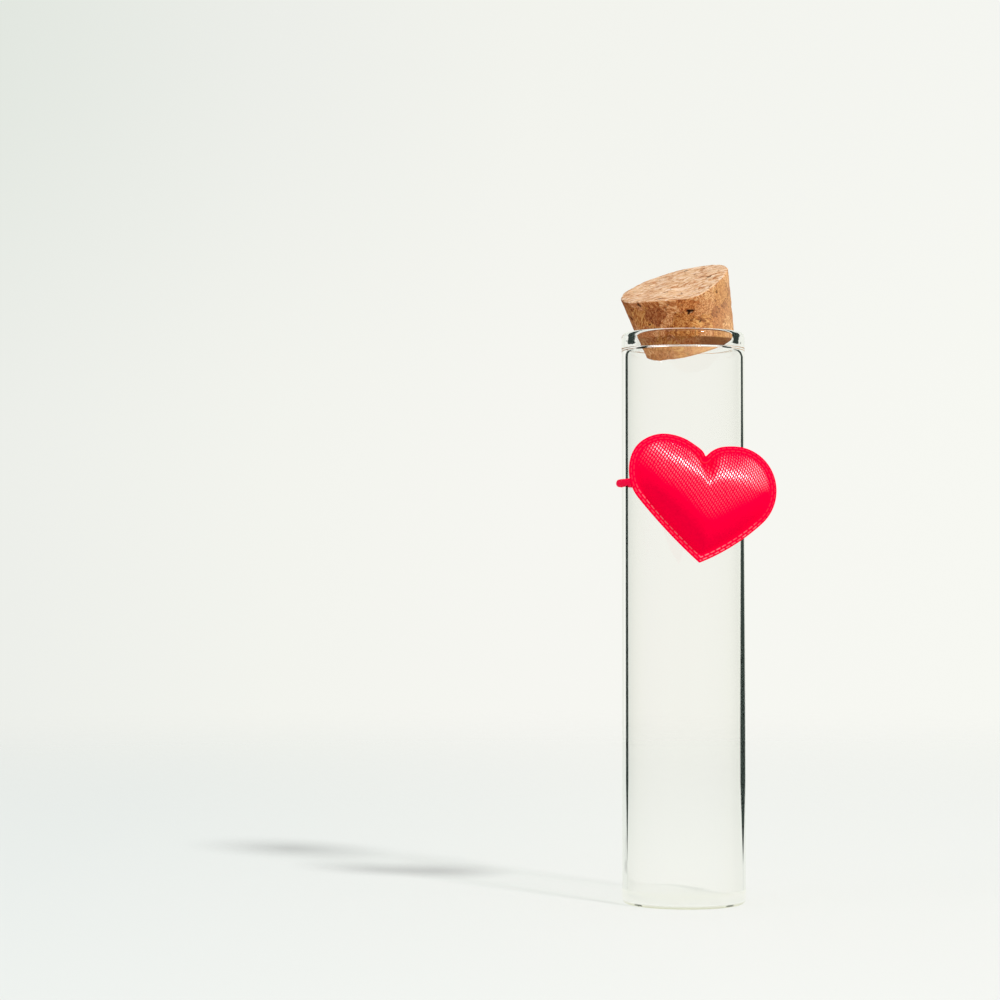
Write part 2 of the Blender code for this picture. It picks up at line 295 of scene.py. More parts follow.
# %% [markdown]
# ## Glass vial
# The vial is one glass tube, drawn and cut, with its floor pressed flat and its lip
# melted back on itself in a flame. So the wall is 0.75 mm, the floor 1 mm, and the lip a
# rounded ring 1.9 mm thick. Under the lip the bore turns in by a small round shoulder and
# a ledge. One closed profile spun round Z gives all of it. Rings set just past each curve
# keep the long walls exactly straight, because glass shows the least bend in its shading.

# %% Vial shape
VIAL_HEIGHT, VIAL_RADIUS = 102.0, 11.0
BORE_RADIUS, MOUTH_RADIUS = 10.25, 9.1
FLOOR_THICK, HEEL_ROUND, FLOOR_ROUND = 1.0, 0.9, 1.6
LIP_ROUND, LIP_FOOT, SHOULDER, LEDGE = 0.95, 98.95, 0.28, 0.36
GUARD = 0.3
VIAL_STEPS = 192

lip_centre = (VIAL_RADIUS - LIP_ROUND, VIAL_HEIGHT - LIP_ROUND)
profile = arc(lip_centre, LIP_ROUND, 90, 0, 14)
profile += [(VIAL_RADIUS, VIAL_HEIGHT - LIP_ROUND - GUARD)]
profile += [(VIAL_RADIUS, HEEL_ROUND + GUARD)]
profile += arc((VIAL_RADIUS - HEEL_ROUND, HEEL_ROUND), HEEL_ROUND, 0, -90, 12)
profile += [(VIAL_RADIUS - HEEL_ROUND - GUARD, 0), (0.5, 0), (0, 0), (0, FLOOR_THICK)]
profile += [(0.5, FLOOR_THICK), (BORE_RADIUS - FLOOR_ROUND - GUARD, FLOOR_THICK)]
inner = (BORE_RADIUS - FLOOR_ROUND, FLOOR_THICK + FLOOR_ROUND)
profile += arc(inner, FLOOR_ROUND, -90, 0, 14)
shoulder_centre = (BORE_RADIUS - SHOULDER, LIP_FOOT - SHOULDER)
profile += [(BORE_RADIUS, inner[1] + GUARD), (BORE_RADIUS, shoulder_centre[1] - GUARD)]
profile += arc(shoulder_centre, SHOULDER, 0, 90, 12)
profile += arc((MOUTH_RADIUS + LEDGE, LIP_FOOT + LEDGE), LEDGE, -90, -180, 12)
profile += [
    (MOUTH_RADIUS, LIP_FOOT + LEDGE + GUARD), (MOUTH_RADIUS, lip_centre[1] - GUARD),
]
profile += arc(lip_centre, LIP_ROUND, 180, 90, 14)
vial_shape = revolve(profile, VIAL_STEPS)
print("vial profile:", len(profile), "points")

# %% [markdown]
# Soda-lime glass, fire-polished, so it is mirror smooth and nearly colourless. Near its
# edges a real tube bends the view so far that it shows the dark room past the pale
# backdrop: a thin dark line down each side, where the bore ends, and wider dark patches
# at the ends of the thick lip. The studio here has no dark room, so the darkness is in
# the glass. How far a line of sight passes from the axis, as a share of the bore's
# radius, follows from the angles at which it meets the wall and the level, which two
# Layer Weight nodes give, so the line is right from every side.

# %% Bend of the view
GLASS_IOR = 1.5

glass = bpy.data.materials.new("soda_lime_glass")
node = nodes_of(glass)
place = node("TexCoord").outputs["Object"]
axes = node("SeparateXYZ", [place])
outward = node("CombineXYZ", [axes.outputs["X"], axes.outputs["Y"]])
radius = node("VectorMath", [outward], "LENGTH").outputs["Value"]
radial = node("VectorMath", [outward], "NORMALIZE")
upward = node("CombineXYZ", {"Z": 1.0})
squares = []
for way in (radial, upward):
    facing = node("LayerWeight", {"Blend": 0.5, "Normal": way})
    share = node("Math", [1.0, facing.outputs["Facing"]], "SUBTRACT")
    squares.append(node("Math", [share, share], "MULTIPLY"))
sideways = node("Math", [1.0, squares[0]], "SUBTRACT")
sideways = node("Math", [sideways, squares[1]], "SUBTRACT")
steepness = node("Math", [squares[1], -GLASS_IOR**2, 1.0], "MULTIPLY_ADD")
ratio = node("Math", [sideways, steepness], "DIVIDE")
root = node("Math", [ratio], "SQRT")
off_axis = node("Math", [root, GLASS_IOR], "MULTIPLY")
print("glass with a refractive index of", GLASS_IOR)

# %% Dark line at the edges
# The line's middle and half width, at heights in mm from the shoulder to the lip's top.
# It bends in under the shoulder, is a short dash on the ledge and a wide patch in the lip.
LINE_LEFT = [
    (97.5, 0.9865, 0.0215), (98.0, 0.981, 0.022), (98.3, 0.962, 0.026), (98.47, 0.935, 0.035),
    (98.55, 0.90, 0.04), (98.59, 0.88, 0.001), (98.61, 0.715, 0.001), (98.65, 0.715, 0.10),
    (99.08, 0.715, 0.10), (99.12, 0.715, 0.001), (99.62, 1.014, 0.001), (99.78, 1.014, 0.074),
    (101.5, 1.014, 0.074), (101.7, 1.014, 0.001),
]
LINE_RIGHT = [
    (97.5, 1.027, 0.018), (98.0, 1.007, 0.02), (98.3, 0.982, 0.026), (98.47, 0.95, 0.035),
    (98.55, 0.91, 0.04), (98.59, 0.89, 0.001), (98.68, 0.78, 0.001), (98.72, 0.78, 0.075),
    (99.05, 0.78, 0.075), (99.09, 0.78, 0.001), (99.62, 1.046, 0.001), (99.78, 1.046, 0.062),
    (101.5, 1.046, 0.062), (101.7, 1.046, 0.001),
]
LINE_LOW, LINE_HIGH = LINE_LEFT[0][0], LINE_LEFT[-1][0]
# What changes along the vial: axis, from and to in mm, and the values there
GLASS_RUNS = {
    "line": ("Z", LINE_LOW, LINE_HIGH, 0.0, 1.0), "right": ("X", -9.0, 9.0, 0.0, 1.0),
    "taper": ("Z", 7.0, 22.0, 0.02, 1.0), "right_wider": ("Z", 30.0, 90.0, 2.5, 1.0),
    "ripple": ("Z", 99.2, 99.7, 0.0, 0.15), "heel_tint": ("Z", 0.04, 0.70, 1.0, 0.0),
    "shade_foot": ("Z", 0.12, 0.25, 0.0, 1.0), "shade_top": ("Z", 0.42, 0.55, 1.0, 0.0),
    "mirror": ("Z", 8.0, 25.0, 0.1, 1.0),
}
RIPPLES_PER_MM = 1.2
# The line is full up to one share of its half width, and gone at another
LINE_SOFT = (0.7, 1.25)
# A look steeper than this share, squared, sees no line
NEARLY_LEVEL = 0.2

run = {
    name: node("MapRange", [axes.outputs[axis], low * MM, high * MM, *values])
    for name, (axis, low, high, *values) in GLASS_RUNS.items()
}
sides = [
    node("ValToRGB", [run["line"]], ramp=[
        ((z - LINE_LOW) / (LINE_HIGH - LINE_LOW), (middle, half, 0.0, 1.0))
        for z, middle, half in stops
    ])
    for stops in (LINE_LEFT, LINE_RIGHT)
]
line = node("MixRGB", [run["right"], *sides])
line = node("SeparateColor", [line])
wider = node("MapRange", [run["right"], 0.5, 1.0, 1.0, run["right_wider"]])
half_width = node("Math", [run["taper"], wider], "MULTIPLY")
half_width = node("Math", [line.outputs[1], half_width], "MULTIPLY")
ripple = node("TexNoise", {"Vector": place, "Scale": RIPPLES_PER_MM / MM, "Detail": 1.0})
ripple = node("Math", [ripple, -0.5], "ADD")
from_line = node("Math", [ripple, run["ripple"], off_axis], "MULTIPLY_ADD")
from_line = node("Math", [from_line, line.outputs[0]], "SUBTRACT")
from_line = node("Math", [from_line], "ABSOLUTE")
from_line = node("Math", [from_line, half_width], "DIVIDE")
in_line = node("MapRange", [from_line, *LINE_SOFT, 1.0, 0.0], interpolation_type="SMOOTHSTEP")
level = node("Math", [squares[1], NEARLY_LEVEL], "LESS_THAN")
in_line = node("Math", [in_line, level], "MULTIPLY")
print("the line lies at", LINE_LEFT[0][1], "and", LINE_RIGHT[0][1], "of the bore's radius")

# %% [markdown]
# The glass bends what lies behind it and mirrors a share of the rest, by Fresnel. Low on
# the tube the outer mirror fades, as the card there is as bright as what shows through.
# A short painted dark dash on each side, like the dark line, stands for the dark room seen
# through the pressed heel, and a faint yellow-grey edge marks the heel. Rays that meet the
# heel from inside, or are trapped in the wall, run straight on, so that the foot stays
# clear. Diffuse and shadow rays pass with a tint, which keeps the shadow pale.

# %% Tint of the glass, with painted shade at its edges
GLASS_TINT, BORE_TINT, EDGE_LINE, HEEL_TINT = "FFFFFE", "FFFFFF", "39423F", "E2E2CC"
# The middle and half width of the heel's painted dark dash, and how dark it is
HEEL_SHADE_DASH, HEEL_SHADE_DARK = (0.755, 0.07), 0.8

# Painted shade: the view through the glass darkens a little towards the bore's edges
painted_edge_shade = node("ValToRGB", [off_axis], ramp=[
    (0.30, BORE_TINT), (0.60, "FEFEFE"), (0.80, "FDFDFC"), (0.90, "FAFAF9"), (1.0, "F8F9F7"),
])
painted = node("MixRGB", [in_line, painted_edge_shade, EDGE_LINE])
side = node("NewGeometry").outputs["Backfacing"]
on_bore = node("Math", [radius, (BORE_RADIUS + 0.05) * MM], "LESS_THAN")
over_floor = node("Math", [axes.outputs["Z"], (FLOOR_THICK + FLOOR_ROUND) * MM], "GREATER_THAN")
at_wall = node("Math", [side, on_bore], "MULTIPLY")
at_wall = node("Math", [at_wall, over_floor], "MULTIPLY")
# A painted dark dash on each side of the heel, like the dark line, for the dark room seen
# through it
level_share = node("Math", [1.0, squares[1]], "SUBTRACT")
from_heel_shade = node("Math", [sideways, level_share], "DIVIDE")
from_heel_shade = node("Math", [from_heel_shade], "SQRT")
from_heel_shade = node("Math", [from_heel_shade, -HEEL_SHADE_DASH[0]], "ADD")
from_heel_shade = node("Math", [from_heel_shade], "ABSOLUTE")
heel_shade_dash = node("MapRange", [from_heel_shade, 0.6 * HEEL_SHADE_DASH[1], HEEL_SHADE_DASH[1], HEEL_SHADE_DARK, 0.0])
for share in (run["shade_foot"], run["shade_top"]):
    heel_shade_dash = node("Math", [heel_shade_dash, share], "MULTIPLY")
entered = node("MixRGB", [run["heel_tint"], GLASS_TINT, HEEL_TINT])
entered = node("MixRGB", [heel_shade_dash, entered, EDGE_LINE])
colour = node("MixRGB", [side, entered, GLASS_TINT])
colour = node("MixRGB", [at_wall, colour, painted])
print("glass tints:", GLASS_TINT, BORE_TINT, EDGE_LINE, HEEL_TINT)

# %% Soda-lime glass
MIRROR_TINT = "FFFFFF"
# Facing from and to which the outer mirror fades, and Fresnel shares of the inner mirror
OUTER_MIRROR, INNER_MIRROR = (0.50, 0.68), (0.90, 0.99)
# A ray is trapped after this many mirrorings
TRAPPED = 1.5

refracted = node("BsdfRefraction", {"Color": colour, "Roughness": 0.0, "IOR": GLASS_IOR})
at_rest = node("Math", [axes.outputs["Z"], HEEL_ROUND * MM], "LESS_THAN")
rays = node("LightPath")
trapped = node("Math", [rays.outputs["Glossy Depth"], TRAPPED], "GREATER_THAN")
at_rest = node("Math", [at_rest, trapped], "MAXIMUM")
at_rest = node("Math", [at_rest, side], "MULTIPLY")
unbent = node("BsdfRefraction", {"Color": GLASS_TINT, "Roughness": 0.0, "IOR": 1.0})
let_through = node("MixShader", [at_rest, refracted, unbent])
mirror_tone = node("MixRGB", [side, MIRROR_TINT, colour])
mirrored = node("BsdfGlossy", {"Color": mirror_tone, "Roughness": 0.0})
facing = node("LayerWeight", {"Blend": 0.5}).outputs["Facing"]
fresnel = node("Fresnel", {"IOR": GLASS_IOR})
outside = node("MapRange", [facing, *OUTER_MIRROR, 1.0, 0.0])
outside = node("Math", [outside, run["mirror"]], "MULTIPLY")
inside = node("MapRange", [fresnel, *INNER_MIRROR, 0.0, 1.0])
inside = node("Math", [inside, at_rest], "SUBTRACT")
kept = node("Mix", {0: side, 2: outside, 3: inside})
mirror_share = node("Math", [fresnel, kept], "MULTIPLY", use_clamp=True)
body = node("MixShader", [mirror_share, let_through, mirrored])
shade_edge = node("ValToRGB", [facing], ramp=[
    (0.0, "FEFEFE"), (0.6, "FBFCFB"), (1.0, "D4D8D6"),
])
lamp_light = node("BsdfTransparent", {"Color": shade_edge})
room_light = node("BsdfTransparent", {"Color": "FFFFFE"})
body = node("MixShader", [rays.outputs["Is Diffuse Ray"], body, room_light])
body = node("MixShader", [rays.outputs["Is Shadow Ray"], body, lamp_light])
node("OutputMaterial", [body])

vial = add_piece("vial_glass", vial_shape, glass)
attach(vial, "vial")
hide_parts("glass_vial")
describe(vial)

# %% [markdown]
# ## Cork stopper
# Cork granules are pressed into a block with a binder, then the plug is ground to a
# taper. The grinding tears out a granule here and there, so the sides are pitted and the
# edges are ragged, while the top shows streaks where a blade cut it. A fine revolved
# plug gets its relief by moving its points: a slow swell, a fine grain, cracks between
# granules and real pits with ragged rims. The cut top also leaves its plane at the edge.

# %% Cork shape
CORK_LENGTH, CORK_TOP, CORK_TIP = 12.1, 9.95, 8.0
CORK_EDGE = 0.20
CORK_CUT = 0.6
CORK_STEPS, CORK_ROWS, CORK_RINGS = 288, 56, 38
CORK_FOOT = Vector((1.55, 1.399, 99.097))
CORK_LEAN = math.radians(22.0)
CORK_LEANS_TO = math.radians(226.0)


def spread(start, end, steps):
    """Evenly spaced points of a straight run, without its first."""
    return [tuple(Vector(start).lerp(Vector(end), i / steps)) for i in range(1, steps + 1)]


slope = (CORK_TOP - CORK_TIP) / CORK_LENGTH
low_edge = (CORK_TIP + slope * (CORK_CUT + CORK_EDGE), CORK_CUT + CORK_EDGE)
high_edge = (CORK_TOP - slope * CORK_EDGE, CORK_LENGTH - CORK_EDGE)
profile = [(0, CORK_CUT)]
profile += spread((0, CORK_CUT), (CORK_TIP - CORK_EDGE, CORK_CUT), CORK_RINGS)
profile += spread((CORK_TIP - CORK_EDGE, CORK_CUT), low_edge, 2)
profile += spread(low_edge, high_edge, CORK_ROWS)
profile += spread(high_edge, (CORK_TOP - CORK_EDGE, CORK_LENGTH), 2)
profile += spread((CORK_TOP - CORK_EDGE, CORK_LENGTH), (0, CORK_LENGTH), CORK_RINGS)
cork_shape = revolve(profile, CORK_STEPS)
print("cork:", len(cork_shape.verts), "points before its relief")

# %% Cork relief
SWELL, GRAIN, TEAR, CRACK = 0.10, 0.05, 0.22, 0.09
SWELL_SIZE, GRAIN_SIZE, ROUGH_SIZE, TORN_SIZE = 4.5, 0.9, 2.0, 2.4
# Above which noise a granule is torn, how much more then, and how near a seam cracks
TORN_FROM, TORN_GAIN, CRACK_NEAR = 0.22, 2.2, 0.16
# How far the surface may stand out or lie in apart from its pits, and how far a pit reaches
MOST_OUT, MOST_IN, PIT_REACH = 0.06, 0.3, 1.6
# The height from which the cut top's bend begins, and how proud its middle stands
BENDS_FROM, TOP_PROUD = 5.0, 0.3
# Pits the grinding left: angle round the side, height, half width and depth
SIDE_PITS = [
    (-129.5, 9.0, 0.38, 0.75), (-120.0, 6.4, 0.19, 0.35), (-93.5, 10.5, 0.17, 0.30),
    (-150.6, 11.1, 0.18, 0.25), (176.0, 11.6, 0.20, 0.30), (-179.0, 7.6, 0.18, 0.25),
    (-62.0, 5.1, 0.22, 0.40), (-20.0, 8.3, 0.30, 0.60), (35.0, 6.0, 0.22, 0.45),
    (72.0, 9.7, 0.34, 0.55), (118.0, 4.2, 0.24, 0.40), (150.0, 8.8, 0.20, 0.35),
]
TOP_PITS = [
    (7.5, 3.1, 0.22, 0.40), (-9.1, 1.5, 0.24, 0.35), (-8.0, -2.6, 0.20, 0.30),
    (2.4, -6.3, 0.30, 0.45), (-3.2, 6.8, 0.22, 0.35), (4.8, -1.2, 0.18, 0.25),
]
# How the cut top leaves its plane at the edge: angle, change and half width in degrees
EDGE_CHANGES = [
    (-163.0, 0.10, 30.0), (-122.0, -1.00, 28.0), (-35.0, 0.85, 48.0), (46.0, 0.60, 45.0),
    (115.0, 0.30, 40.0),
]


def edge_change(point):
    """How far a point near the cut top is moved up or down."""
    angle = math.degrees(math.atan2(point.y, point.x))
    change = 0.0
    for middle, amount, half_width in EDGE_CHANGES:
        off = (angle - middle + 180) % 360 - 180
        change += amount * math.exp(-((off / half_width) ** 2))
    out = min(math.hypot(point.x, point.y) / CORK_TIP, 1.0)
    up = min(max((point.z - BENDS_FROM) / (CORK_LENGTH - BENDS_FROM), 0.0), 1.0)
    return (change * out + TOP_PROUD * (1 - out)) * up**2


def torn(point, size):
    """How deep a torn granule lies at a point: most granules don't lie deep at all."""
    distance, centres = noise.voronoi(point / size)
    kind = noise.noise(centres[0] * 7.3)
    edge = max(0.0, 1 - (distance[1] - distance[0]) / CRACK_NEAR)
    return max(0.0, kind - TORN_FROM) * TORN_GAIN, edge**2


pit_places = []
for degrees, height, half_width, depth in SIDE_PITS:
    turn = math.radians(degrees)
    radius = CORK_TIP + slope * height
    place = Vector((radius * math.cos(turn), radius * math.sin(turn), height))
    pit_places.append((place, half_width, depth))
for x, y, half_width, depth in TOP_PITS:
    pit_places.append((Vector((x, y, CORK_LENGTH)), half_width, depth))


def wandered(point, size, amount):
    """The point, moved a little by slow noise, which makes straight seams crooked."""
    apart = [Vector((0, 0, 0)), Vector((31, 7, 3)), Vector((5, 47, 19))]
    return point + Vector([noise.noise(point / size + a) for a in apart]) * amount


# Each point keeps how deep it lies in a pit, as the share of the pit's painted shade
pit_shade_layer = cork_shape.verts.layers.float.new("pit")
cork_shape.normal_update()
moves = {}
for vert in cork_shape.verts:
    point = vert.co
    swell = noise.noise(point / SWELL_SIZE) * SWELL
    grain = noise.fractal(point / GRAIN_SIZE, 1.0, 2.0, 4) * GRAIN
    deep, crack = torn(wandered(point, 1.5, 0.7), TORN_SIZE)
    rough = 0.5 + 0.5 * noise.noise(point / ROUGH_SIZE + Vector((9, 4, 2)))
    inward = TEAR * deep * rough + CRACK * crack * rough
    ragged = wandered(point, 0.5, 0.45)
    for centre, half_width, depth in pit_places:
        away = (ragged - centre).length / half_width
        if away < PIT_REACH:
            hole = 1 - (away / PIT_REACH) ** 2
            inward += depth * hole**1.2
            vert[pit_shade_layer] = max(vert[pit_shade_layer], min(2.0 * hole, 1.0))
    outward = max(-MOST_IN, swell + grain) - inward
    moves[vert] = vert.normal * min(outward, MOST_OUT)
for vert, move in moves.items():
    vert.co.z += edge_change(vert.co)
    vert.co += move
cork_place = (
    Matrix.Translation(CORK_FOOT)
    @ Matrix.Rotation(CORK_LEANS_TO - math.pi, 4, "Z")
    @ Matrix.Rotation(-CORK_LEAN, 4, "Y")
)
print("deepest move", round(max(m.length for m in moves.values()), 2), "mm")

# %% [markdown]
# Agglomerated cork: granules of 2 to 5 mm, tan, ochre or red-brown as the bark was,
# with streaks in each that run their own way, and dark binder and pores between them.
# Cork is dry and matt. Voronoi cells give the granules, and a random turn for each
# cell's streaks keeps neighbours apart. The cut top is paler and pinker than the sides.

# %% Granules and streaks
GRANULE, GRANULE_WANDER = 3.4, 3.4
# From and to which share of facing along the cork's axis its cut top shows
TOP_BEGINS = (0.45, 0.75)
PRESSED_FROM, PRESSED_TO = 99.2, 100.8
# Painted shade and light over the side, painted light under the lip and the darker band in it:
# axis, from and to in mm, and the shares there
CORK_RUNS = {
    "shade": ("X", -9.0, 0.0, 0.28, 0.0), "light": ("X", 1.0, 9.0, 0.0, 0.32),
    "below": ("Z", PRESSED_FROM - 0.2, PRESSED_FROM, 1.0, 0.0),
    # painted light under the lip, stronger towards the right
    "fresh": ("X", -6.0, 4.0, 0.12, 0.90),
    "over": ("Z", PRESSED_FROM, PRESSED_FROM + 0.3, 0.0, 1.0),
    "under": ("Z", PRESSED_TO - 0.2, PRESSED_TO, 1.0, 0.0),
    "darker_right": ("X", 0.5, 3.0, 0.42, 0.88),
}

cork_finish = bpy.data.materials.new("agglomerated_cork")
node = nodes_of(cork_finish)
mm_place = place_in_mm(node)
wander = node("TexNoise", {"Vector": mm_place, "Scale": 0.5, "Detail": 4.0})
wandering = node("VectorMath", [
    wander.outputs["Color"], (GRANULE_WANDER,) * 3, mm_place,
], "MULTIPLY_ADD")
cells = {"Vector": wandering, "Scale": 1 / GRANULE}
granules = node("TexVoronoi", cells)
seams = node("TexVoronoi", cells, feature="DISTANCE_TO_EDGE")
random = node("SeparateColor", [granules.outputs["Color"]])
granule_tone = node("ValToRGB", [random], ramp=[
    (0.0, "B5743A"), (0.25, "DFAA68"), (0.42, "CB8A52"), (0.62, "EDC18C"), (0.80, "DFA778"),
    (1.0, "A8652F"),
])
turn = node("Math", [random.outputs[1], 6.283], "MULTIPLY")
turned = node("VectorRotate", {"Vector": mm_place, "Axis": (0.5, 0.3, 0.8), "Angle": turn})
drawn_out = node("Mapping", {"Vector": turned, "Scale": (1.0, 0.22, 1.0)})
streaks = node("TexNoise", {
    "Vector": drawn_out, "Scale": 2.8, "Detail": 4.0, "Roughness": 0.72, "Distortion": 1.1,
})
streak_tone = node("ValToRGB", [streaks], ramp=[
    (0.34, "6E3C1E"), (0.43, "B9855A"), (0.50, "E2BE99"), (0.57, "FFFFFF"), (0.66, "FFF3E2"),
])
streaked = node("MixRGB", [0.95, granule_tone, streak_tone], blend_type="MULTIPLY")
print("granules of", GRANULE, "mm, each with streaks of its own")

# %% Cut top and ground side
TOP_TONES = ["7E4628", "BC8258", "DCB890", "EACEB0", "F4E2CE"]
# Tones of the painted shade on the side's left and of the painted light on its right
PAINTED_SIDE_SHADE, PAINTED_SIDE_LIGHT = "9A6238", "F6CC9C"

normal = node("TexCoord").outputs["Normal"]
facing_up = node("VectorMath", [normal, cork_place.col[2][:3]], "DOT_PRODUCT")
on_top = node("MapRange", [facing_up.outputs["Value"], *TOP_BEGINS])
top_way = node("Mapping", {
    "Vector": mm_place, "Rotation": (0.3, -0.38, 0.35), "Scale": (0.45, 1.8, 1.8),
})
top_streaks = node("TexNoise", {
    "Vector": top_way, "Scale": 0.9, "Detail": 5.0, "Roughness": 0.70, "Distortion": 0.8,
})
top_tone = node("ValToRGB", [top_streaks], ramp=zip((0.34, 0.42, 0.49, 0.57, 0.68), TOP_TONES))
paled = node("MixRGB", [0.22, top_tone, streaked])
axes = node("SeparateXYZ", [mm_place])
run = {
    name: node("MapRange", [axes.outputs[axis], *values])
    for name, (axis, *values) in CORK_RUNS.items()
}
# The ground side gets painted shade towards the left and painted light towards the right
side_tone = node("MixRGB", [run["shade"], streaked, PAINTED_SIDE_SHADE], blend_type="MULTIPLY")
side_tone = node("MixRGB", [run["light"], side_tone, PAINTED_SIDE_LIGHT])
cork_tone = node("MixRGB", [on_top, side_tone, paled])
print("cork tones at the top:", TOP_TONES)

# %% Seams and pores
# The noise or random share from which a seam or pore opens, and its width when wide open
SEAM_OPENS, SEAM_WIDE = (0.55, 0.75), 0.06
PORE_OPENS, PORE_WIDE = (0.80, 1.0), 0.26
# The binder's tone and its share in seams and pores, and the painted shade in the pits
BINDER, BINDER_SHARE, PIT_SHADE = "5A3018", 0.5, "1C0D06"

seam_noise = node("TexNoise", {"Vector": mm_place, "Scale": 0.9, "Detail": 4.0})
seam_wide = node("MapRange", [seam_noise, *SEAM_OPENS, 0.0, SEAM_WIDE])
seam = node("Math", [seams.outputs["Distance"], seam_wide], "LESS_THAN")
pores = node("TexVoronoi", {"Vector": wandering, "Scale": 1.0})
pore_random = node("SeparateColor", [pores.outputs["Color"]])
pore_wide = node("MapRange", [pore_random, *PORE_OPENS, 0.0, PORE_WIDE])
pore = node("Math", [pores.outputs["Distance"], pore_wide], "LESS_THAN")
dark_places = node("Math", [seam, pore], "MAXIMUM")
dark_share = node("Math", [dark_places, BINDER_SHARE], "MULTIPLY")
cork_tone = node("MixRGB", [dark_share, cork_tone, BINDER])
print("seams up to", SEAM_WIDE, "and pores up to", PORE_WIDE, "wide")

# %% [markdown]
# Under the lip, light gathered by the glass falls on the cork: it gets painted light, paler
# towards the right. Where the lip's ring grips it, it is darker, more so towards the right.

# %% Agglomerated cork
UNDER_LIP_LIGHT, LIP_BAND_TONE = "DFA878", "65391A"

# Painted light under the lip, paler towards the right
fresh = node("Math", [run["below"], run["fresh"]], "MULTIPLY")
cork_tone = node("MixRGB", [fresh, cork_tone, UNDER_LIP_LIGHT], blend_type="SCREEN")
# Where the lip's ring grips the cork, it is darker, more so towards the right
pressed = node("Math", [run["over"], run["under"]], "MULTIPLY")
pressed = node("Math", [pressed, run["darker_right"]], "MULTIPLY")
cork_tone = node("MixRGB", [pressed, cork_tone, LIP_BAND_TONE])
# Painted shade in the pits, nearly black
pit_shade_share = node("Attribute", attribute_name="pit").outputs["Fac"]
cork_tone = node("MixRGB", [pit_shade_share, cork_tone, PIT_SHADE])
relief = node("Math", [streaks, dark_places], "SUBTRACT")
bumps = node("Bump", {"Height": relief, "Strength": 0.6, "Distance": 0.18 * MM})
dry = node("BsdfPrincipled", {
    "Base Color": cork_tone, "Roughness": 0.88, "Normal": bumps, "Specular IOR Level": 0.2,
})
node("OutputMaterial", [dry])

cork = add_piece("cork_plug", cork_shape, cork_finish, cork_place)
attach(cork, "stopper")
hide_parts("cork_stopper")
describe(cork)

# %% [markdown]
# ## Elastic cord
# A loop of thin braided elastic, stretched a little, so it lies on the glass all round.
# It is drawn as one ring of oval section. Two helixes of small hollows cross on it, as
# the threads of a braid do, and they are cut in the mesh, so they show in outline too.

# %% Cord shape
CORD_HEIGHT = 75.2
CORD_INNER, CORD_OUTER, CORD_TALL = 11.04, 12.04, 1.30
CORD_STEPS, CORD_SIDES = 840, 16
BRAID_PITCH = 1.1
BRAID_DEPTH = 0.07
CORD_SAG = 0.22

half_wide = (CORD_OUTER - CORD_INNER) / 2
middle = CORD_INNER + half_wide
section = arc((0, 0), 1.0, 0, 360, CORD_SIDES)
shape = revolve([(middle + half_wide * x, CORD_TALL / 2 * z) for x, z in section], CORD_STEPS)
shape.normal_update()
crossings = round(2 * math.pi * middle / BRAID_PITCH)
for vert in shape.verts:
    round_glass = math.atan2(vert.co.y, vert.co.x)
    out = math.hypot(vert.co.x, vert.co.y) - middle
    round_cord = math.atan2(vert.co.z / (CORD_TALL / 2), out / half_wide)
    one = math.cos(crossings * round_glass + 2 * round_cord)
    other = math.cos(crossings * round_glass - 2 * round_cord)
    hollow = (1 - max(one, other)) / 2
    vert.co -= vert.normal * BRAID_DEPTH * hollow
    vert.co.z += CORD_SAG * min(vert.co.x / CORD_OUTER, 0.0)
print("cord braid crosses", crossings, "times round the glass")

# %% [markdown]
# Spun polyester round a rubber core: matt and fuzzy, a shade pinker than the satin. Felt
# is matt too, so one function makes both: one noise gives their tone and their bumps.

# %% Braided elastic
def thread_material(name, noise, tones, bump, finish):
    """A matt material whose tone and bumps follow one noise, with its scale per mm."""
    material = bpy.data.materials.new(name)
    node = nodes_of(material)
    threads = node("TexNoise", {"Vector": place_in_mm(node), **noise})
    tone = node("ValToRGB", [threads], ramp=tones)
    bumps = node("Bump", {"Height": threads, **bump})
    matt = node("BsdfPrincipled", {"Base Color": tone, "Normal": bumps, **finish})
    node("OutputMaterial", [matt])
    return material


elastic = thread_material(
    "braided_elastic", {"Scale": 6.0, "Detail": 3.0}, [(0.3, "F6003E"), (0.7, "FF0446")],
    {"Strength": 0.5, "Distance": 0.05 * MM}, {"Roughness": 0.8, "Specular IOR Level": 0.05},
)
cord = add_piece("elastic_loop", shape, elastic, Matrix.Translation((0, 0, CORD_HEIGHT)))
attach(cord, "band")
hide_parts("elastic_cord")
describe(cord)

# %% [markdown]
# ## Padded heart
# Two layers of red satin with wadding between are welded together by a heated die. The
# die leaves a flat rim with two rows of pressed dashes, and cuts the outline. The
# outline is two round lobes that run smoothly into flat arcs down to the tip, so a line
# at any distance inside it is known exactly. Loops of points at such distances are
# extruded one from another into a closed pad, and bridged where their number changes.

# %% Heart outline
HEART_WIDTH, HEART_HEIGHT = 27.0, 22.1
TIP = Vector((0.5, -14.6))
LOBE_DROP = 1.15
LEFT_LOBE, RIGHT_LOBE = 0.255 * HEART_WIDTH, 0.286 * HEART_WIDTH
LEFT_SIDE, RIGHT_SIDE = 3.7 * HEART_WIDTH, 1.4 * HEART_WIDTH
RIM_WIDTH = 1.25
HEART_TOP = HEART_HEIGHT + TIP.y
CROWN_CENTRE = Vector((0, 0.54 * HEART_HEIGHT + TIP.y))
LOBES = [
    (
        Vector((HEART_WIDTH / 2 - RIGHT_LOBE, HEART_TOP - LOBE_DROP - RIGHT_LOBE)),
        RIGHT_LOBE, RIGHT_SIDE,
    ),
    (Vector((LEFT_LOBE - HEART_WIDTH / 2, HEART_TOP - LEFT_LOBE)), LEFT_LOBE, LEFT_SIDE),
]


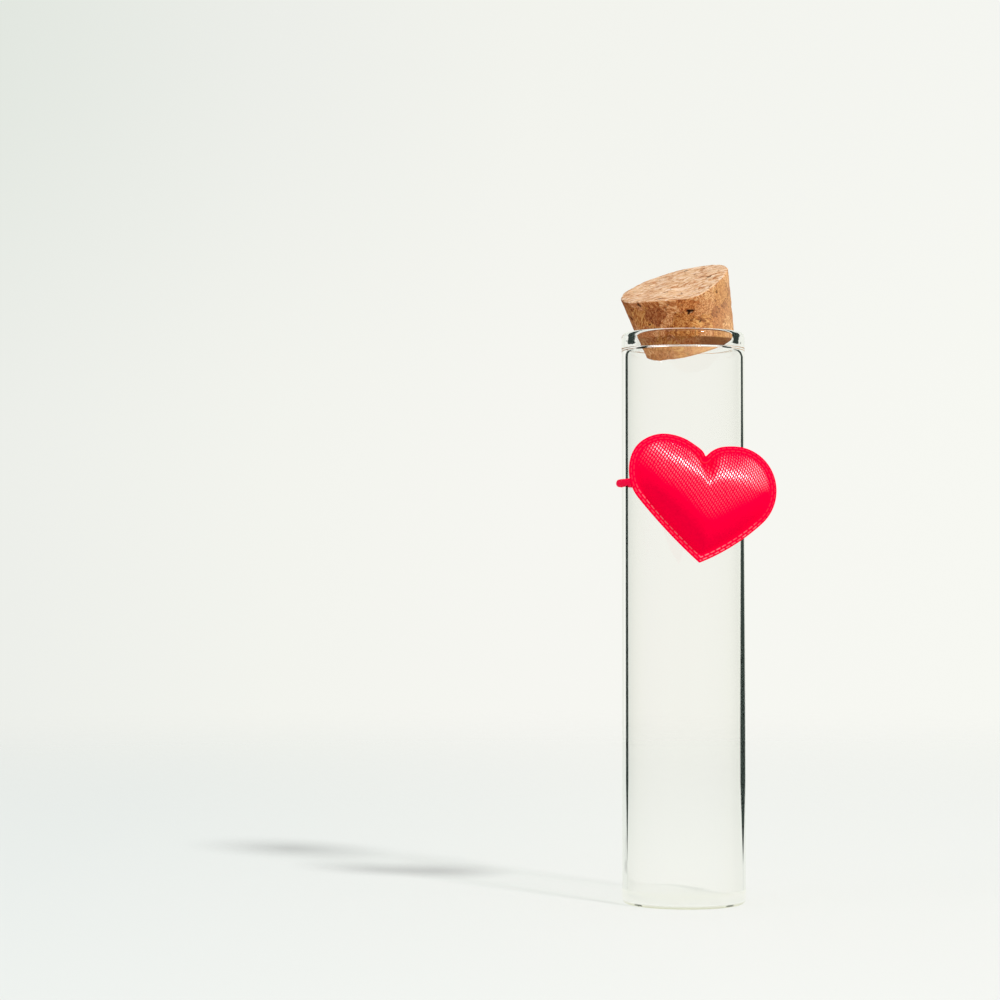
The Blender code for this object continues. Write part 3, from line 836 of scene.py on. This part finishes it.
def circles_meet(first, first_radius, second, second_radius, side):
    """Where two circles meet, left (1) or right (-1) of the way from first to second."""
    way = second - first
    gap = way.length
    unit = way / gap
    along = (first_radius**2 - second_radius**2 + gap**2) / (2 * gap)
    across = math.sqrt(first_radius**2 - along**2)
    return first + unit * along + Vector((-unit.y, unit.x)) * across * side


CLEFT = circles_meet(LOBES[1][0], LEFT_LOBE, LOBES[0][0], RIGHT_LOBE, 1)
SIDE_CENTRES = [
    circles_meet(TIP, side, lobe, side - radius, way)
    for (lobe, radius, side), way in zip(LOBES, (1, -1))
]


def degrees_of(way):
    return math.degrees(math.atan2(way.y, way.x))


def arc_between(centre, radius, start, end, clockwise):
    span = (end - start) % 360
    return arc(centre, radius, start, start + span - (360 if clockwise else 0), 90)


def half_heart(which, inset):
    """From the cleft to the tip, inset from the edge. 0 is the right half, 1 the left."""
    lobe, lobe_radius, side_radius = LOBES[which]
    side_centre = SIDE_CENTRES[which]
    to_lobes = sum(((c - CLEFT).normalized() for c, _, _ in LOBES), Vector((0, 0)))
    tip = circles_meet(
        SIDE_CENTRES[0], RIGHT_SIDE - inset, SIDE_CENTRES[1], LEFT_SIDE - inset, -1
    )
    right = which == 0
    leave = degrees_of(lobe - side_centre)
    points = arc_between(
        CLEFT, inset, degrees_of(to_lobes), degrees_of(lobe - CLEFT), not right
    )
    points += arc_between(
        lobe, lobe_radius - inset, degrees_of(CLEFT - lobe), leave, right
    )
    points += arc_between(
        side_centre, side_radius - inset, leave, degrees_of(tip - side_centre), right
    )
    return [Vector(p) for p in points]


def resample(points, steps):
    """The same line in equal steps."""
    lengths = [0.0]
    for a, b in zip(points, points[1:]):
        lengths.append(lengths[-1] + (b - a).length)
    found, i = [], 0
    for step in range(steps + 1):
        goal = lengths[-1] * step / steps
        while i < len(points) - 2 and lengths[i + 1] < goal:
            i += 1
        part = (goal - lengths[i]) / max(lengths[i + 1] - lengths[i], 1e-9)
        found.append(points[i].lerp(points[i + 1], min(max(part, 0), 1)))
    return found


def heart_line(inset, count):
    """A closed line of points at a distance inside the heart's edge."""
    right = resample(half_heart(0, inset), count // 2)
    left = resample(half_heart(1, inset), count // 2)
    return right + left[-2:0:-1]


edge = heart_line(0, 400)
wide, tall = (max(p[i] for p in edge) - min(p[i] for p in edge) for i in (0, 1))
print(f"heart {wide:.2f} by {tall:.2f} mm, cleft at {CLEFT.x:.2f}, {CLEFT.y:.2f}")

# %% Pad of satin
PAD_BACK, PAD_FRONT = 0.05, 0.78
CROWN_RISE = 4.55
COLUMNS = 144
CORNER_CREASE = 0.8
RIM_LINES = (0.0, 0.30, 0.50, 0.78, 0.98, RIM_WIDTH - 0.10, RIM_WIDTH)
CROWN_SHARES = [0.965, 0.92, 0.865] + [0.80 - 0.065 * i for i in range(12)]


def columns_at(share):
    """Fewer columns near the middle, so that the cloth's cells stay near square."""
    return COLUMNS if share > 0.62 else COLUMNS // 2 if share > 0.3 else COLUMNS // 4


def add_loop(shape, points, level):
    verts = [shape.verts.new((p.x, p.y, level)) for p in points]
    edges = [shape.edges.new((v, verts[i - 1])) for i, v in enumerate(verts)]
    return verts, edges


def next_loop(shape, last, points, level):
    """The loop after the last one, with faces between. Columns run on where they can."""
    if len(points) != len(last[0]):
        loop = add_loop(shape, points, level)
        bmesh.ops.bridge_loops(shape, edges=last[1] + loop[1])
        return loop
    made = bmesh.ops.extrude_edge_only(shape, edges=last[1])["geom"]
    fresh = {part for part in made if isinstance(part, bmesh.types.BMVert)}
    verts = []
    for vert, p in zip(last[0], points):
        beside = next(v for v in (e.other_vert(vert) for e in vert.link_edges) if v in fresh)
        beside.co = (p.x, p.y, level)
        verts.append(beside)
    edges = [
        part for part in made
        if isinstance(part, bmesh.types.BMEdge) and all(v in fresh for v in part.verts)
    ]
    return verts, edges


def crown_line(share):
    weld = heart_line(RIM_WIDTH, columns_at(share))
    return [CROWN_CENTRE + (p - CROWN_CENTRE) * share for p in weld]


pad_shape = bmesh.new()
crease = pad_shape.verts.layers.float.new("crease_vert")
rim = [add_loop(pad_shape, heart_line(RIM_LINES[0], COLUMNS), PAD_FRONT)]
for d in RIM_LINES[1:]:
    rim.append(next_loop(pad_shape, rim[-1], heart_line(d, COLUMNS), PAD_FRONT))
last = rim[-1]
for share in CROWN_SHARES:
    level = PAD_FRONT + CROWN_RISE * 0.8 * (1 - share**2) ** 0.8
    last = next_loop(pad_shape, last, crown_line(share), level)
bmesh.ops.poke(pad_shape, faces=[pad_shape.faces.new(last[0])])
back = [next_loop(pad_shape, rim[0], heart_line(0.0, COLUMNS), PAD_BACK)]
back += [next_loop(pad_shape, back[0], heart_line(RIM_WIDTH, COLUMNS), PAD_BACK)]
last = back[-1]
for share in (0.75, 0.5, 0.25):
    last = next_loop(pad_shape, last, crown_line(share), PAD_BACK)
bmesh.ops.poke(pad_shape, faces=[pad_shape.faces.new(last[0])])
bmesh.ops.recalc_face_normals(pad_shape, faces=pad_shape.faces)
if pad_shape.calc_volume(signed=True) < 0:
    bmesh.ops.reverse_faces(pad_shape, faces=pad_shape.faces)
for verts, _ in [rim[0], rim[1], back[0]]:
    for corner in (verts[0], verts[COLUMNS // 2]):
        corner[crease] = CORNER_CREASE
cloth_map = pad_shape.loops.layers.uv.new("cloth")
for face in pad_shape.faces:
    for loop in face.loops:
        loop[cloth_map].uv = loop.vert.co.xy
print("pad:", len(pad_shape.verts), "points,", len(pad_shape.faces), "faces")

# %% [markdown]
# The wadding fills the satin like air: Blender's Cloth with a pressure and no gravity
# pushes the crown out from the welded line, which is pinned, and the cloth finds the
# creases at the cleft and the soft puckers by itself. Cloth is made for garments, so
# the pad is simulated a hundred times as large, and then made small again. A real pad is
# also stiff, so the foot of the crown is held at its place on the flat pad, and a curve
# over the height makes the crown's top flatter and its foot softer.

# %% Puff the pad up
SIM_SCALE = 0.1
SIM_FRAMES = 26
# Powers that flatten the crown's top and soften its foot, and the share of its height
# below which points are drawn back to their flat places
CROWN_FLAT, CROWN_FOOT, FOOT_HELD = 1.35, 1.4, 0.45


def puff_up(piece, pinned):
    """Blows a pinned sheet up with Blender's Cloth, and keeps the result."""
    group = piece.vertex_groups.new(name="welded")
    group.add(pinned, 1.0, "REPLACE")
    cloth = piece.modifiers.new("cloth", "CLOTH")
    settings = cloth.settings
    settings.quality = 8
    settings.mass = 0.3
    settings.tension_stiffness = 25
    settings.compression_stiffness = 25
    settings.shear_stiffness = 12
    settings.bending_stiffness = 0.4
    settings.vertex_group_mass = "welded"
    settings.use_pressure = True
    settings.uniform_pressure_force = 6.0
    settings.effector_weights.gravity = 0.0
    cloth.collision_settings.use_collision = False
    cloth.point_cache.frame_start = 1
    cloth.point_cache.frame_end = SIM_FRAMES
    for frame_number in range(1, SIM_FRAMES + 1):
        bpy.context.scene.frame_set(frame_number)
    freeze(piece)
    bpy.context.scene.frame_set(1)


satin = bpy.data.materials.new("red_polyester_satin")
bmesh.ops.scale(pad_shape, vec=(SIM_SCALE / MM,) * 3, verts=pad_shape.verts)
pad_shape.verts.index_update()
pinned_level = (PAD_FRONT + 0.01) * SIM_SCALE / MM
pinned = [v.index for v in pad_shape.verts if v.co.z < pinned_level]
pad = add_piece("padded_heart", pad_shape, satin)
flat_places = [v.co.xy / SIM_SCALE for v in pad.data.vertices]
puff_up(pad, pinned)
pad.vertex_groups.clear()
pad.data.transform(Matrix.Scale(1 / SIM_SCALE, 4))
rise = max(v.co.z for v in pad.data.vertices) - PAD_FRONT
print(f"crown rises {rise:.2f} mm above the rim")
for vert in pad.data.vertices:
    if vert.co.z > PAD_FRONT:
        share = (vert.co.z - PAD_FRONT) / rise
        vert.co.xy = flat_places[vert.index].lerp(vert.co.xy, min(share / FOOT_HELD, 1.0))
        share = (1 - (1 - share) ** CROWN_FLAT) ** CROWN_FOOT
        vert.co.z = PAD_FRONT + CROWN_RISE * share

# %% [markdown]
# Two levels of subdivision give the pad its final smoothness. Only then is the rim fine
# enough to take the die's dashes, which are raised in the mesh itself: two rows of short
# ridges that follow the heart's edge, with the second row set half a step along. The
# dashes get a painted highlight, pale in their colour, where they would face the key
# light: low on the right, and the inner row also higher up on the left. A few soft pushes
# give the outline the pull of hand-set cloth.

# %% Pressed dashes on the rim
DASH_ROWS = ((0.40, 0.0), (0.88, 0.5))
DASH_PITCH, DASH_SHARE = 1.2, 0.78
DASH_HALF_WIDTH, DASH_HEIGHT = 0.11, 0.06
# Up to which height the dashes get their painted highlight on the right and on the left,
# and how much in each row
RIGHT_SHINE, LEFT_SHINE = (-6.4, (1.0, 1.0)), (-1.8, (0.30, 0.85))
FAINT_SHINE, SHINE_FADE = 0.12, 1.2
# The shine's usual share, how far noise changes it, the noise's size and the least share
PATCH_SHARE, PATCH_CHANGE, PATCH_SIZE, PATCH_LEAST = 0.75, 1.1, 2.2, 0.2
DASH_END = 0.10
# How far below and above the rim's face the dashes reach, and where the crown is full
RIM_BELOW, RIM_ABOVE, CROWN_FULL = 0.15, 0.25, 0.7
EDGE_POINTS = 2400
# Hand-set cloth pulls the outline a little: place, move and reach
OUTLINE_PUSHES = [
    ((0.0, 4.0), (0.40, 0.68), 2.2), ((2.4, 5.6), (0.0, 0.20), 1.8),
    ((-5.6, 7.3), (-0.05, -0.18), 2.6), ((-11.5, 4.0), (-0.30, 0.20), 3.5),
]

smooth = pad.modifiers.new("smooth", "SUBSURF")
smooth.levels = smooth.render_levels = 2
freeze(pad)
edge = heart_line(0, EDGE_POINTS)
edge_length = sum((p - edge[i - 1]).length for i, p in enumerate(edge))
finder = kdtree.KDTree(EDGE_POINTS)
for i, point in enumerate(edge):
    finder.insert((point.x, point.y, 0), i)
finder.balance()
dashes = round(edge_length / DASH_PITCH)
# Each point keeps the share of its dash's painted highlight
dash_highlight_layer = pad.data.attributes.new("dash", "FLOAT", "POINT")
crown_layer = pad.data.attributes.new("crown", "FLOAT", "POINT")
for vert in pad.data.vertices:
    over_rim = vert.co.z - PAD_FRONT
    crown_layer.data[vert.index].value = min(max(0.0, over_rim) / CROWN_FULL, 1.0)
    if not -RIM_BELOW < over_rim < RIM_ABOVE:
        continue
    _, i, inside = finder.find((vert.co.x, vert.co.y, 0))
    shine_top, row_shines = RIGHT_SHINE if vert.co.x > TIP.x else LEFT_SHINE
    low_enough = min(max((shine_top - vert.co.y) / SHINE_FADE, 0.0), 1.0)
    patchy = PATCH_SHARE + PATCH_CHANGE * noise.noise(Vector((*vert.co.xy, 0.0)) / PATCH_SIZE)
    patchy = min(max(patchy, PATCH_LEAST), 1.0)
    for (row, offset), row_shine in zip(DASH_ROWS, row_shines):
        across = 1 - ((inside - row) / DASH_HALF_WIDTH) ** 2
        place_in_step = (dashes * i / EDGE_POINTS + offset) % 1
        along = (DASH_SHARE / 2 - abs(place_in_step - 0.5)) / DASH_END
        if across > 0 and along > 0:
            vert.co.z += DASH_HEIGHT * across * min(along, 1.0)
            # Painted highlight of the dash, strongest low on the right
            highlight_share = FAINT_SHINE + (row_shine - FAINT_SHINE) * low_enough * patchy
            dash_highlight_layer.data[vert.index].value = highlight_share * min(along, 1.0) * math.sqrt(across)
for vert in pad.data.vertices:
    flat = vert.co.xy
    for centre, push, reach in OUTLINE_PUSHES:
        near = math.exp(-(((flat - Vector(centre)).length / reach) ** 2))
        vert.co.xy += Vector(push) * near
print("dashes in a row:", dashes, "rim length", round(edge_length, 1), "mm")

# %% [markdown]
# Polyester satin: most of each thread floats over its neighbours, so the cloth is glossy
# where the floats catch the light and plain red elsewhere. The floats lie in steep rows.
# Their ridges are a product of two cosines in the cloth's own flat coordinates, which
# the pad's UV map keeps in millimetres, so the weave follows the puffed surface. The real
# thread is about 0.4 mm wide, which is just coarse enough to show. The gloss is drawn
# out across the floats, which are tilted a little, and it is kept to slopes that catch
# the key lamp. It drops where the cloth turns up, and the floats that face the lamp
# straight get a painted highlight, pale in their colour.

# %% Weave
FLOAT_WAY, FLOAT_PITCH, FLOAT_RIDGE = math.radians(65), 0.396, (0.25, 0.80)
ROW_WAY, ROW_PITCH, ROW_RIDGE = math.radians(-48), 0.59, (0.10, 0.60)
WEAVE_DRIFT = 0.35

node = nodes_of(satin)
cloth = node("UVMap", uv_map="cloth")
unevenness = node("TexNoise", {"Vector": cloth, "Scale": 0.7, "Detail": 2.0})
drift = node("VectorMath", [
    unevenness.outputs["Color"], (WEAVE_DRIFT, WEAVE_DRIFT, 0.0), cloth,
], "MULTIPLY_ADD")
ridges = []
for way, pitch, ridge in (
    (FLOAT_WAY, FLOAT_PITCH, FLOAT_RIDGE), (ROW_WAY, ROW_PITCH, ROW_RIDGE),
):
    over = Vector((math.sin(way), -math.cos(way), 0)) * 2 * math.pi / pitch
    turns = node("VectorMath", [drift, tuple(over)], "DOT_PRODUCT")
    wave = node("Math", [turns.outputs["Value"]], "COSINE")
    wave = node("MapRange", [wave, -1.0, 1.0])
    ridges.append(node("MapRange", [wave, *ridge], interpolation_type="SMOOTHSTEP"))
floats = node("Math", ridges, "MULTIPLY")
print("floats", FLOAT_PITCH, "mm apart, rows", ROW_PITCH, "mm apart")

# %% Red polyester satin
SATIN_RED, SATIN_DEEP, PAINTED_HIGHLIGHT, GLOSS_TINT = "FF0039", "F80037", "FFC4C9", "FFF2F4"
FLOAT_SHINE, DASH_SHINE = 0.84, 0.40
FLOAT_TILT = (0.02, 0.0, 0.05)
# How far the normal points up where the gloss begins to drop and is least, and the least
UPWARD, UPWARD_SHINE = (0.52, 0.85), 0.30
# From where light is caught, and how directly a slope faces it for no gloss and all gloss
CAUGHT_FROM, CAUGHT = (0.22, -0.75, 0.62), (0.55, 0.96)
# The same for the painted pale highlight on floats on the side that the key lamp lights, and
# its share
LIT_FROM, LIT, LIT_SHARE = (0.72, -0.55, 0.42), (0.89, 0.99), 0.55

thread_noise = node("TexNoise", {"Vector": cloth, "Scale": 1.6, "Detail": 3.0})
shine = node("MapRange", [thread_noise, 0.3, 0.7, 0.6 * FLOAT_SHINE, 1.4 * FLOAT_SHINE])
puffed = node("Attribute", attribute_name="crown").outputs["Fac"]
dyed = node("ValToRGB", [thread_noise], ramp=[(0.3, SATIN_DEEP), (0.7, SATIN_RED)])
# The dashes get a painted highlight: their colour turns pale
dash = node("Attribute", attribute_name="dash").outputs["Fac"]
dash_highlight_share = node("Math", [dash, DASH_SHINE], "MULTIPLY")
pressed = node("MixRGB", [dash_highlight_share, dyed, PAINTED_HIGHLIGHT])
normal = node("NewGeometry").outputs["Normal"]
# Floats that face the key lamp get a painted highlight: their colour turns pale
facing_light = node("VectorMath", [normal, LIT_FROM], "DOT_PRODUCT")
lit = node("MapRange", [facing_light.outputs["Value"], *LIT, 0.0, LIT_SHARE])
for share in (floats, puffed):
    lit = node("Math", [lit, share], "MULTIPLY")
lit_thread = node("MixRGB", [lit, pressed, PAINTED_HIGHLIGHT])
matt = node("BsdfPrincipled", {
    "Base Color": lit_thread, "Roughness": 0.8, "Specular IOR Level": 0.0,
})
tilted = node("VectorMath", [normal, FLOAT_TILT], "SUBTRACT")
tilted = node("VectorMath", [tilted], "NORMALIZE")
towards = node("VectorMath", [normal, CAUGHT_FROM], "DOT_PRODUCT")
caught = node("MapRange", [towards.outputs["Value"], *CAUGHT])
caught = node("Math", [caught, 2.0], "POWER")
upward = node("SeparateXYZ", [normal]).outputs["Z"]
shaded = node("MapRange", [upward, *UPWARD, 1.0, UPWARD_SHINE])
gloss_share = floats
for share in (shine, puffed, caught, shaded):
    gloss_share = node("Math", [gloss_share, share], "MULTIPLY")
gloss_tone = node("MixRGB", [gloss_share, "000000", GLOSS_TINT])
gloss = node("BsdfGlossy", {
    "Color": gloss_tone, "Roughness": 0.52, "Anisotropy": 0.45,
    "Rotation": FLOAT_WAY / (2 * math.pi), "Normal": tilted,
    "Tangent": node("Tangent", direction_type="UV_MAP", uv_map="cloth"),
})
both = node("AddShader", [matt, gloss])
node("OutputMaterial", [both])
print("satin", SATIN_RED, "with a gloss of", FLOAT_SHINE, "on its floats")

# %% The heart at its place
HEART_FORWARD, HEART_TURN, HEART_HANG = 12.45, math.radians(12.0), math.radians(-5.0)

heart_place = (
    Matrix.Translation((0, 0, CORD_HEIGHT))
    @ Matrix.Rotation(HEART_TURN, 4, "Z")
    @ Matrix.Translation((0, -HEART_FORWARD, 0))
    @ Matrix.Rotation(math.radians(90.0), 4, "X")
)
pad.data.transform(Matrix.Scale(MM, 4) @ heart_place @ Matrix.Rotation(HEART_HANG, 4, "Z"))
pad.data.shade_smooth()
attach(pad, "heart")
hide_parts("heart_cover", "heart_filling", "heart_backing")
describe(pad)

# %% [markdown]
# ## Felt tab
# A block of thick red felt is glued to the heart's back, hollowed to lie on the glass.
# The cord runs in a groove across it. Two cutters shape it with Boolean modifiers, then
# a voxel remesh and some smoothing give it felt's soft edges, and noise its nap.

# %% Tab shape
TAB_WIDTH, TAB_HEIGHT, TAB_CORNER = 11.0, 6.0, 1.5
TAB_FRONT, TAB_BACK = 0.08, -3.1
GLASS_CLEAR = 11.12
GROOVE_INNER, GROOVE_OUTER, GROOVE_TALL, GROOVE_CHAMFER = 10.9, 12.2, 1.9, 0.3
CUTTER_STEPS = 160
FELT_VOXEL, NAP, NAP_SIZE = 0.14, 0.05, 0.7

felt = thread_material(
    "red_felt", {"Scale": 3.0, "Detail": 8.0, "Roughness": 0.75, "Distortion": 1.5},
    [(0.35, "9C0026"), (0.65, "D40838")], {"Strength": 0.9, "Distance": 0.12 * MM},
    {
        "Roughness": 0.95, "Sheen Weight": 0.15, "Sheen Roughness": 0.6,
        "Sheen Tint": "E83058", "Specular IOR Level": 0.1,
    },
)

shape = bmesh.new()
bmesh.ops.create_cube(shape, size=1.0)
bmesh.ops.scale(
    shape, vec=(TAB_WIDTH, TAB_HEIGHT, TAB_FRONT - TAB_BACK), verts=shape.verts
)
bmesh.ops.translate(shape, vec=(0, 0, (TAB_FRONT + TAB_BACK) / 2), verts=shape.verts)
upright = [e for e in shape.edges if abs(e.verts[0].co.z - e.verts[1].co.z) > 1]
bmesh.ops.bevel(
    shape, geom=upright, offset=TAB_CORNER, segments=5, profile=0.5, affect="EDGES",
    material=-1,
)
tab = add_piece("felt_tab", shape, felt, heart_place)


def cut_away(piece, name, shape, place):
    """Cuts a shape out of a piece, and removes the cutter."""
    cutter = add_piece(name, shape, piece.data.materials[0], place)
    cut = piece.modifiers.new(name, "BOOLEAN")
    cut.operation = "DIFFERENCE"
    cut.solver = "EXACT"
    cut.object = cutter
    freeze(piece)
    bpy.data.objects.remove(cutter)


at_cord = Matrix.Translation((0, 0, CORD_HEIGHT))
shape = bmesh.new()
bmesh.ops.create_cone(
    shape, cap_ends=True, segments=CUTTER_STEPS, radius1=GLASS_CLEAR, radius2=GLASS_CLEAR,
    depth=9.0,
)
cut_away(tab, "glass_hollow", shape, at_cord)
half_tall = GROOVE_TALL / 2
shape = revolve([
    (GROOVE_INNER, -half_tall), (GROOVE_OUTER - GROOVE_CHAMFER, -half_tall),
    (GROOVE_OUTER, GROOVE_CHAMFER - half_tall), (GROOVE_OUTER, half_tall - GROOVE_CHAMFER),
    (GROOVE_OUTER - GROOVE_CHAMFER, half_tall), (GROOVE_INNER, half_tall),
    (GROOVE_INNER, -half_tall),
], CUTTER_STEPS)
cut_away(tab, "cord_groove", shape, at_cord)
remesh = tab.modifiers.new("felted", "REMESH")
remesh.mode = "VOXEL"
remesh.voxel_size = FELT_VOXEL * MM
soften = tab.modifiers.new("soften", "SMOOTH")
soften.factor = 0.6
soften.iterations = 4
freeze(tab)
for vert in tab.data.vertices:
    nap = noise.fractal(vert.co / MM / NAP_SIZE, 1.0, 2.0, 3) * NAP
    vert.co += vert.normal * nap * MM
tab.data.shade_smooth()
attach(tab, "heart")
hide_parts("cord_tab")
describe(tab)
